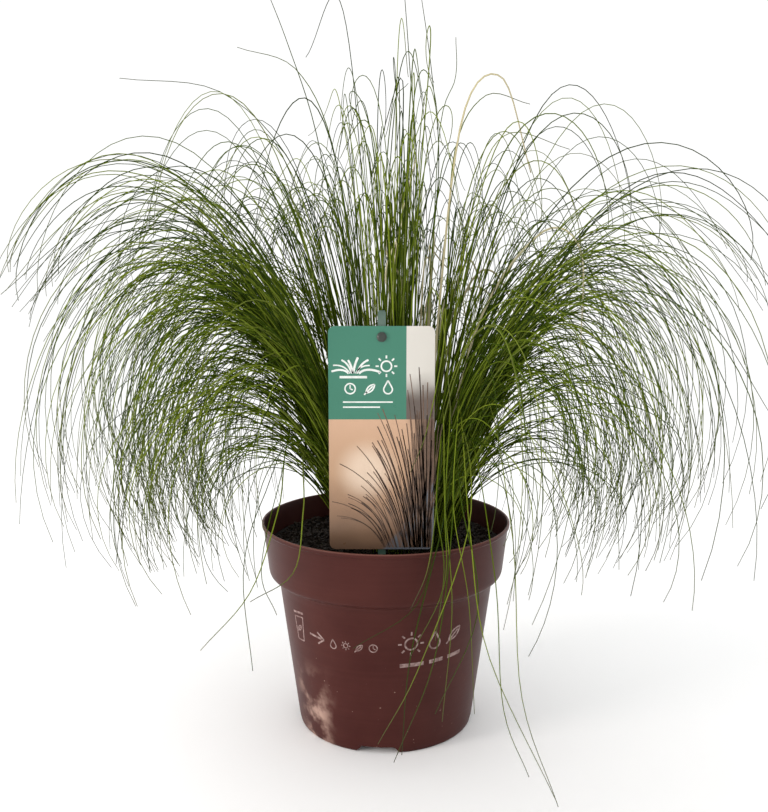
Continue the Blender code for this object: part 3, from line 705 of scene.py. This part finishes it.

# The stray blades: single long ones that leave the bunches. Some stand up straight, some hang over
# the rim and down the pot or cross the label's corner, and three reach the ground at the right.
# Each row is four given points that one blade passes, from above its root out to its tip.
STRAYS = (
    ((-0.025, 0.010, 0.275), (-0.045, 0.020, 0.395), (-0.065, 0.020, 0.460), (-0.085, 0.020, 0.510)),
    ((0.010, 0.000, 0.275), (0.020, 0.000, 0.370), (0.015, -0.005, 0.445), (0.010, -0.010, 0.505)),
    ((0.025, 0.010, 0.275), (0.035, 0.010, 0.375), (0.030, 0.010, 0.440), (0.020, 0.010, 0.505)),
    ((-0.020, 0.020, 0.275), (-0.035, 0.030, 0.390), (-0.060, 0.030, 0.445), (-0.100, 0.030, 0.460)),
    ((-0.030, 0.020, 0.275), (-0.060, 0.030, 0.375), (-0.110, 0.030, 0.430), (-0.180, 0.030, 0.440)),
    ((0.010, 0.000, 0.275), (0.010, 0.000, 0.365), (0.010, 0.000, 0.435), (-0.010, -0.010, 0.370)),
    ((0.005, 0.020, 0.275), (0.000, 0.020, 0.360), (0.005, 0.020, 0.420), (0.015, 0.020, 0.435)),
    ((0.040, 0.000, 0.275), (0.045, 0.010, 0.385), (0.065, 0.010, 0.425), (0.095, 0.010, 0.420)),
    ((0.030, 0.000, 0.275), (0.035, 0.000, 0.400), (0.045, 0.000, 0.435), (0.045, 0.000, 0.460)),
    ((0.045, 0.000, 0.275), (0.060, 0.000, 0.365), (0.080, 0.000, 0.400), (0.120, 0.000, 0.390)),
    ((-0.060, 0.000, 0.225), (-0.135, 0.020, 0.355), (-0.200, 0.020, 0.345), (-0.265, 0.020, 0.295)),
    ((0.080, 0.000, 0.240), (0.150, 0.000, 0.315), (0.215, 0.000, 0.280), (0.265, 0.000, 0.210)),
    ((0.085, 0.010, 0.245), (0.135, 0.010, 0.355), (0.180, 0.010, 0.350), (0.225, 0.010, 0.295)),
    ((0.045, -0.030, 0.230), (0.050, -0.090, 0.160), (0.060, -0.110, 0.090), (0.100, -0.125, 0.005)),
    ((0.060, -0.030, 0.235), (0.075, -0.090, 0.160), (0.080, -0.110, 0.065), (0.100, -0.130, 0.005)),
    ((0.050, -0.030, 0.215), (0.065, -0.090, 0.135), (0.070, -0.105, 0.055), (0.085, -0.115, 0.015)),
    ((0.035, -0.040, 0.225), (0.035, -0.090, 0.175), (0.040, -0.090, 0.110), (0.035, -0.085, 0.035)),
    ((0.040, -0.040, 0.230), (0.035, -0.090, 0.175), (0.035, -0.090, 0.125), (0.015, -0.090, 0.080)),
    ((0.035, -0.040, 0.215), (0.030, -0.090, 0.175), (0.020, -0.090, 0.115), (-0.020, -0.090, 0.085)),
    ((0.045, -0.040, 0.230), (0.040, -0.090, 0.175), (0.050, -0.090, 0.115), (0.055, -0.085, 0.040)),
    ((0.045, -0.040, 0.225), (0.035, -0.090, 0.170), (0.015, -0.090, 0.080), (0.010, -0.080, 0.010)),
    ((0.035, -0.040, 0.210), (0.030, -0.090, 0.175), (0.035, -0.090, 0.135), (0.030, -0.090, 0.090)),
    ((0.040, -0.040, 0.215), (0.040, -0.090, 0.175), (0.030, -0.090, 0.080), (0.005, -0.080, 0.005)),
    ((0.045, -0.040, 0.215), (0.050, -0.090, 0.165), (0.020, -0.095, 0.075), (-0.005, -0.085, 0.020)),
    ((0.035, -0.045, 0.205), (0.030, -0.090, 0.175), (0.025, -0.090, 0.135), (0.015, -0.090, 0.110)),
    ((0.040, -0.045, 0.210), (0.045, -0.090, 0.175), (0.055, -0.095, 0.110), (0.030, -0.095, 0.045)),
    ((0.025, -0.045, 0.280), (0.030, -0.060, 0.300), (0.035, -0.070, 0.275), (0.040, -0.070, 0.220)),
    ((0.035, -0.045, 0.280), (0.035, -0.060, 0.265), (0.025, -0.065, 0.215), (0.015, -0.070, 0.190)),
    ((-0.055, -0.020, 0.205), (-0.075, -0.075, 0.175), (-0.085, -0.095, 0.135), (-0.080, -0.100, 0.075)),
    ((-0.055, -0.020, 0.215), (-0.065, -0.070, 0.185), (-0.075, -0.090, 0.135), (-0.065, -0.100, 0.110)),
    ((-0.060, -0.020, 0.200), (-0.065, -0.080, 0.170), (-0.080, -0.100, 0.125), (-0.110, -0.105, 0.090)),
    ((-0.050, -0.030, 0.195), (-0.050, -0.080, 0.170), (-0.055, -0.095, 0.135), (-0.080, -0.105, 0.120)),
)
STRAY_ROOT_RING = 0.020
STRAY_WIDTH = 0.0011
STRAY_TIP = 0.0005


def threads(knots):
    """Smooth paths through each row's knots: a Catmull-Rom cubic between every two, run on past both
    ends and sampled evenly in the knots' own count. Each root is in the crown, towards its first knot."""
    knots = np.array(knots)
    towards = knots[:, 0, :2] - CROWN
    root = CROWN + STRAY_ROOT_RING * towards / np.linalg.norm(towards, axis=1, keepdims=True)
    root = np.concatenate([root, np.full((len(root), 1), SOIL_TOP - ROOT_DEPTH)], 1)
    knots = np.concatenate([root[:, None], knots], 1)
    before_root = 2 * knots[:, :1] - knots[:, 1:2]
    past_tip = 2 * knots[:, -1:] - knots[:, -2:-1]
    knots = np.concatenate([before_root, knots, past_tip], 1)
    spans = knots.shape[1] - 3
    t = np.linspace(0, spans, STRAND_POINTS)
    first = np.minimum(t.astype(int), spans - 1)
    t = (t - first)[None, :, None]
    before, start, end, after = (knots[:, first + shift] for shift in range(4))
    return 0.5 * (2 * start + (end - before) * t + (2 * before - 5 * start + 4 * end - after) * t ** 2
                  + (3 * start - before - 3 * end + after) * t ** 3)


strays = strand_piece("stray_blades", threads(STRAYS), STRAY_WIDTH, STRAY_TIP, green, 61)
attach(strays, "root")

# The dead blades: a few straw-coloured ones stand and arch among the green, wider than the green ones.
straw = blade_finish("straw_blades", (0.42, 0.36, 0.20), (0.38, 0.34, 0.19), (0.56, 0.50, 0.30),
                     (0.68, 0.63, 0.42), (0.50, 0.44, 0.30))
STRAW_WIDTH = 0.0020
STRAW_TIP = 0.0009
STRAW_SECTOR = (50, 70)
STRAW_ROWS = (
    (4, (10, 24), (0.165, 0.215), (0.110, 0.170), (0.080, 0.140), (0.90, 1.05)),
    (5, (2, 8), (0.140, 0.230), (0.015, 0.045), (0.000, 0.010), (0.80, 1.00)))
STRAW_STRAYS = (
    ((0.035, 0.000, 0.275), (0.050, 0.000, 0.410), (0.075, 0.000, 0.435), (0.095, 0.000, 0.375)),
    ((0.060, 0.000, 0.270), (0.100, -0.010, 0.335), (0.125, -0.020, 0.325), (0.125, -0.030, 0.260)),
    ((0.005, 0.000, 0.275), (0.005, 0.000, 0.305), (0.010, 0.000, 0.345), (0.020, 0.000, 0.385)),
    ((0.005, -0.020, 0.275), (0.000, -0.020, 0.310), (0.010, -0.020, 0.340), (0.010, -0.020, 0.360)),
    ((0.010, -0.020, 0.275), (0.010, -0.020, 0.305), (0.000, -0.020, 0.325), (0.005, -0.020, 0.345)),
)
dead_paths = np.concatenate([drawn(STRAW_SECTOR, STRAW_ROWS, 77), threads(STRAW_STRAYS)])
dead = strand_piece("tuft_straw_strands", dead_paths, STRAW_WIDTH, STRAW_TIP, straw, 78)
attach(dead, "root")
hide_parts("tuft_straw")

# The label: a thin printed plastic sheet with round corners and a punched hole, hung on the stake.
# Its print is a green head panel over a warm picture of grass plumes before a low sun.
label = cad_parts["label"]
PANEL_RIGHT = 0.733
PANEL_FOOT = 0.59


def label_print():
    """Print on the sheet's front: a green panel beside a pale strip, over a warm ground with a low sun."""
    finish = Finish("label_print", 0.28, 0.35)
    where, (x, y, z) = finish.place()
    width, height = LABEL_HIGH[0] - LABEL_LOW[0], LABEL_HIGH[2] - LABEL_LOW[2]
    u = (x - LABEL_LOW[0]) * (1 / width)
    v = (z - LABEL_LOW[2]) * (1 / height)
    panel = (u < PANEL_RIGHT) * (v > PANEL_FOOT)
    soft = finish.noise(where, 26, 4)
    warm = finish.ramp(v + soft * 0.16 - 0.08, (0.02, (0.150, 0.088, 0.055)), (0.16, (0.30, 0.175, 0.105)),
                       (0.34, (0.50, 0.31, 0.19)), (0.58, (0.60, 0.38, 0.25)))
    sun_gap = ((u - 0.36) * (u - 0.36) * 0.215 + (v - 0.36) * (v - 0.36)).math("SQRT")
    warm = finish.mix((0.16 - sun_gap).step(0.0, 0.12) * 0.75, warm, (0.80, 0.64, 0.50))
    shadow = (u * 0.9 + soft * 0.5 - 0.86).step(0.0, 0.30)
    warm = finish.mix(shadow * 0.85, warm, (0.060, 0.036, 0.028))
    warm = finish.mix((u - v * 1.6 - 0.60 + soft * 0.2).step(0.0, 0.06), warm, (0.115, 0.125, 0.145))
    darker = (0.80 - v + soft * 0.16 - 0.08).step(0.0, 0.12) * 0.9
    pale = finish.mix(darker, (0.66, 0.63, 0.58), (0.070, 0.042, 0.032))
    colour = finish.mix(v > PANEL_FOOT, warm, pale)
    colour = finish.mix(panel, colour, (0.050, 0.200, 0.135))
    behind = y > (LABEL_LOW[1] + LABEL_HIGH[1]) / 2
    colour = finish.mix(behind, colour, (0.60, 0.60, 0.56))
    return finish.set(Base_Color=colour, Roughness=0.24 + finish.noise(where, 80, 3) * 0.12)


label.data.materials.clear()
label.data.materials.append(label_print())


def on_label(u, v, over):
    """u and v run in metres from the sheet's lower left corner, and the ink is 0.1 mm thick."""
    return np.stack([LABEL_LOW[0] + u, LABEL_LOW[1] + 0.00004 - over * 0.0001, LABEL_LOW[2] + v], -1)


def blades(u, v, spread, count, low, high, length, width, seed):
    """Arching lines that root within a spread: length along the lean, falling as a power of its share."""
    dice = np.random.default_rng(seed)
    share = np.linspace(0, 1, 14)
    made = []
    leans = np.radians(np.linspace(low, high, count) + dice.normal(0, 2.5, count))
    reaches = length * dice.uniform(0.6, 1, count)
    for lean, reach, root in zip(leans, reaches, np.linspace(-spread, spread, count)):
        across = u + root + dice.normal(0, spread * 0.15) + reach * share * np.sin(lean) * (0.6 + 0.6 * share)
        above = v + reach * (share * np.cos(lean) - 0.55 * share ** 2.4 * abs(np.sin(lean)))
        made.append((*np.stack([across, above], -1).ravel(), width * dice.uniform(0.7, 1.3)))
    return made


def ink(name, dark, light, scale):
    """Printing ink that varies a little from dark to light."""
    finish = Finish(name, 0.4, 0.3)
    where, _ = finish.place()
    worn = finish.noise(where, scale, 4)
    colour = finish.ramp(worn, (0.35, dark), (0.65, light))
    return finish.set(Base_Color=colour, Roughness=0.3 + worn * 0.15)


panel_lines = [*blades(15.5, 112.5, 3.2, 8, -56, 56, 15, 1.1, 2), (7, 110.2, 24, 110.2, 1.5),
               *sun(36, 117, 3.2, 1.0), *drop(37, 102.5, 2.7, 0.9), *leaf(26, 103, 3.8, 0.9),
               circle(13.5, 103, 3.2, 0.9), (13.5, 103, 13.5, 105.2, 0.8), (13.5, 103, 15.2, 102.2, 0.8),
               (9, 94.6, 40, 94.6, 0.9), (9, 91.4, 32, 91.4, 0.9)]
panel_print = piece("label_pictograms", *strokes(panel_lines, on_label),
                    ink("white_ink", (0.70, 0.74, 0.70), (0.84, 0.86, 0.83), 300), False)
plume_lines = [*blades(47, 1.2, 13, 34, -34, 10, 58, 0.45, 5), *blades(55, 1.2, 8, 34, -20, 3, 84, 0.5, 6),
               *blades(58, 1.2, 5.5, 26, -7, 1, 118, 0.55, 8)]
plumes = piece("label_plumes", *strokes(plume_lines, on_label),
               ink("brown_ink", (0.045, 0.026, 0.018), (0.160, 0.095, 0.062), 140), False)
for printed in (panel_print, plumes):
    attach(printed, "root")

# The stake: a slim translucent grey-green plastic channel with a button through the label's hole.
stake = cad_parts["stake"]
HOLE = (-0.0026, LABEL_HIGH[2] - 0.0067)
BUTTON_SHADE = 0.0048


def stake_plastic():
    """Cloudy grey-green plastic, dark on the button and just round it."""
    finish = Finish("stake_plastic", 0.25, 0.5)
    where, (x, y, z) = finish.place()
    cloud = finish.noise(where, 120, 3)
    colour = finish.ramp(cloud, (0.3, (0.040, 0.085, 0.062)), (0.7, (0.095, 0.150, 0.120)))
    across, above = x - HOLE[0], z - HOLE[1]
    button = (across * across + above * above) < BUTTON_SHADE ** 2
    colour = finish.mix(button * 0.85, colour, (0.020, 0.022, 0.018))
    return finish.set(Base_Color=colour, Roughness=0.22 + cloud * 0.15)


stake.data.materials.clear()
stake.data.materials.append(stake_plastic())

# The studio: a white floor that runs out of sight, soft light from all round, a large soft light
# from the left, a weaker one from behind, and the camera where the photograph's was.
FLOOR_HALF = 4.0
SKY_STRENGTH = 1.05
CAMERA_PLACE = (-0.0012, -0.6497, 0.3199)
CAMERA_PITCH = 8.7
CAMERA_LENS = 42.885
floor_points = np.array([(-1, -1, 0), (1, -1, 0), (1, 1, 0), (-1, 1, 0)], float) * FLOOR_HALF


def floor_paper():
    """Matte white paper with a very faint cloud."""
    finish = Finish("floor_paper", 0.9, 0.1)
    where, _ = finish.place()
    colour = finish.mix(finish.noise(where, 3, 2), (0.972, 0.972, 0.972), (0.985, 0.985, 0.985))
    return finish.set(Base_Color=colour)


floor = piece("floor", floor_points, np.array([(0, 1, 2, 3)]), floor_paper())

world = bpy.data.worlds.new("studio")
world.use_nodes = True
sky = world.node_tree.nodes["Background"]
sky.inputs["Color"].default_value = (1, 1, 1, 1)
sky.inputs["Strength"].default_value = SKY_STRENGTH
bpy.context.scene.world = world
bpy.context.scene.view_settings.view_transform = "Standard"


def soft_light(name, place, aim, size, power, colour=(1, 1, 1)):
    """A square area light at a place, turned to face a point."""
    light = bpy.data.lights.new(name, "AREA")
    light.size = size
    light.energy = power
    light.color = colour
    made = bpy.data.objects.new(name, light)
    made.location = place
    made.rotation_euler = (Vector(aim) - Vector(place)).to_track_quat("-Z", "Y").to_euler()
    bpy.context.scene.collection.objects.link(made)


soft_light("key", (-1.0, -0.50, 0.32), (-0.04, 0, 0.10), 0.35, 7, (1, 0.93, 0.88))
soft_light("lip", (0.0, 0.9, 1.5), (0, 0, 0.2), 0.9, 2)

camera_data = bpy.data.cameras.new("camera")
camera_data.sensor_width = 36
camera_data.lens = CAMERA_LENS
camera = bpy.data.objects.new("camera", camera_data)
camera.location = CAMERA_PLACE
camera.rotation_euler = (math.radians(90 - CAMERA_PITCH), 0, 0)
bpy.context.scene.collection.objects.link(camera)
bpy.context.scene.camera = camera
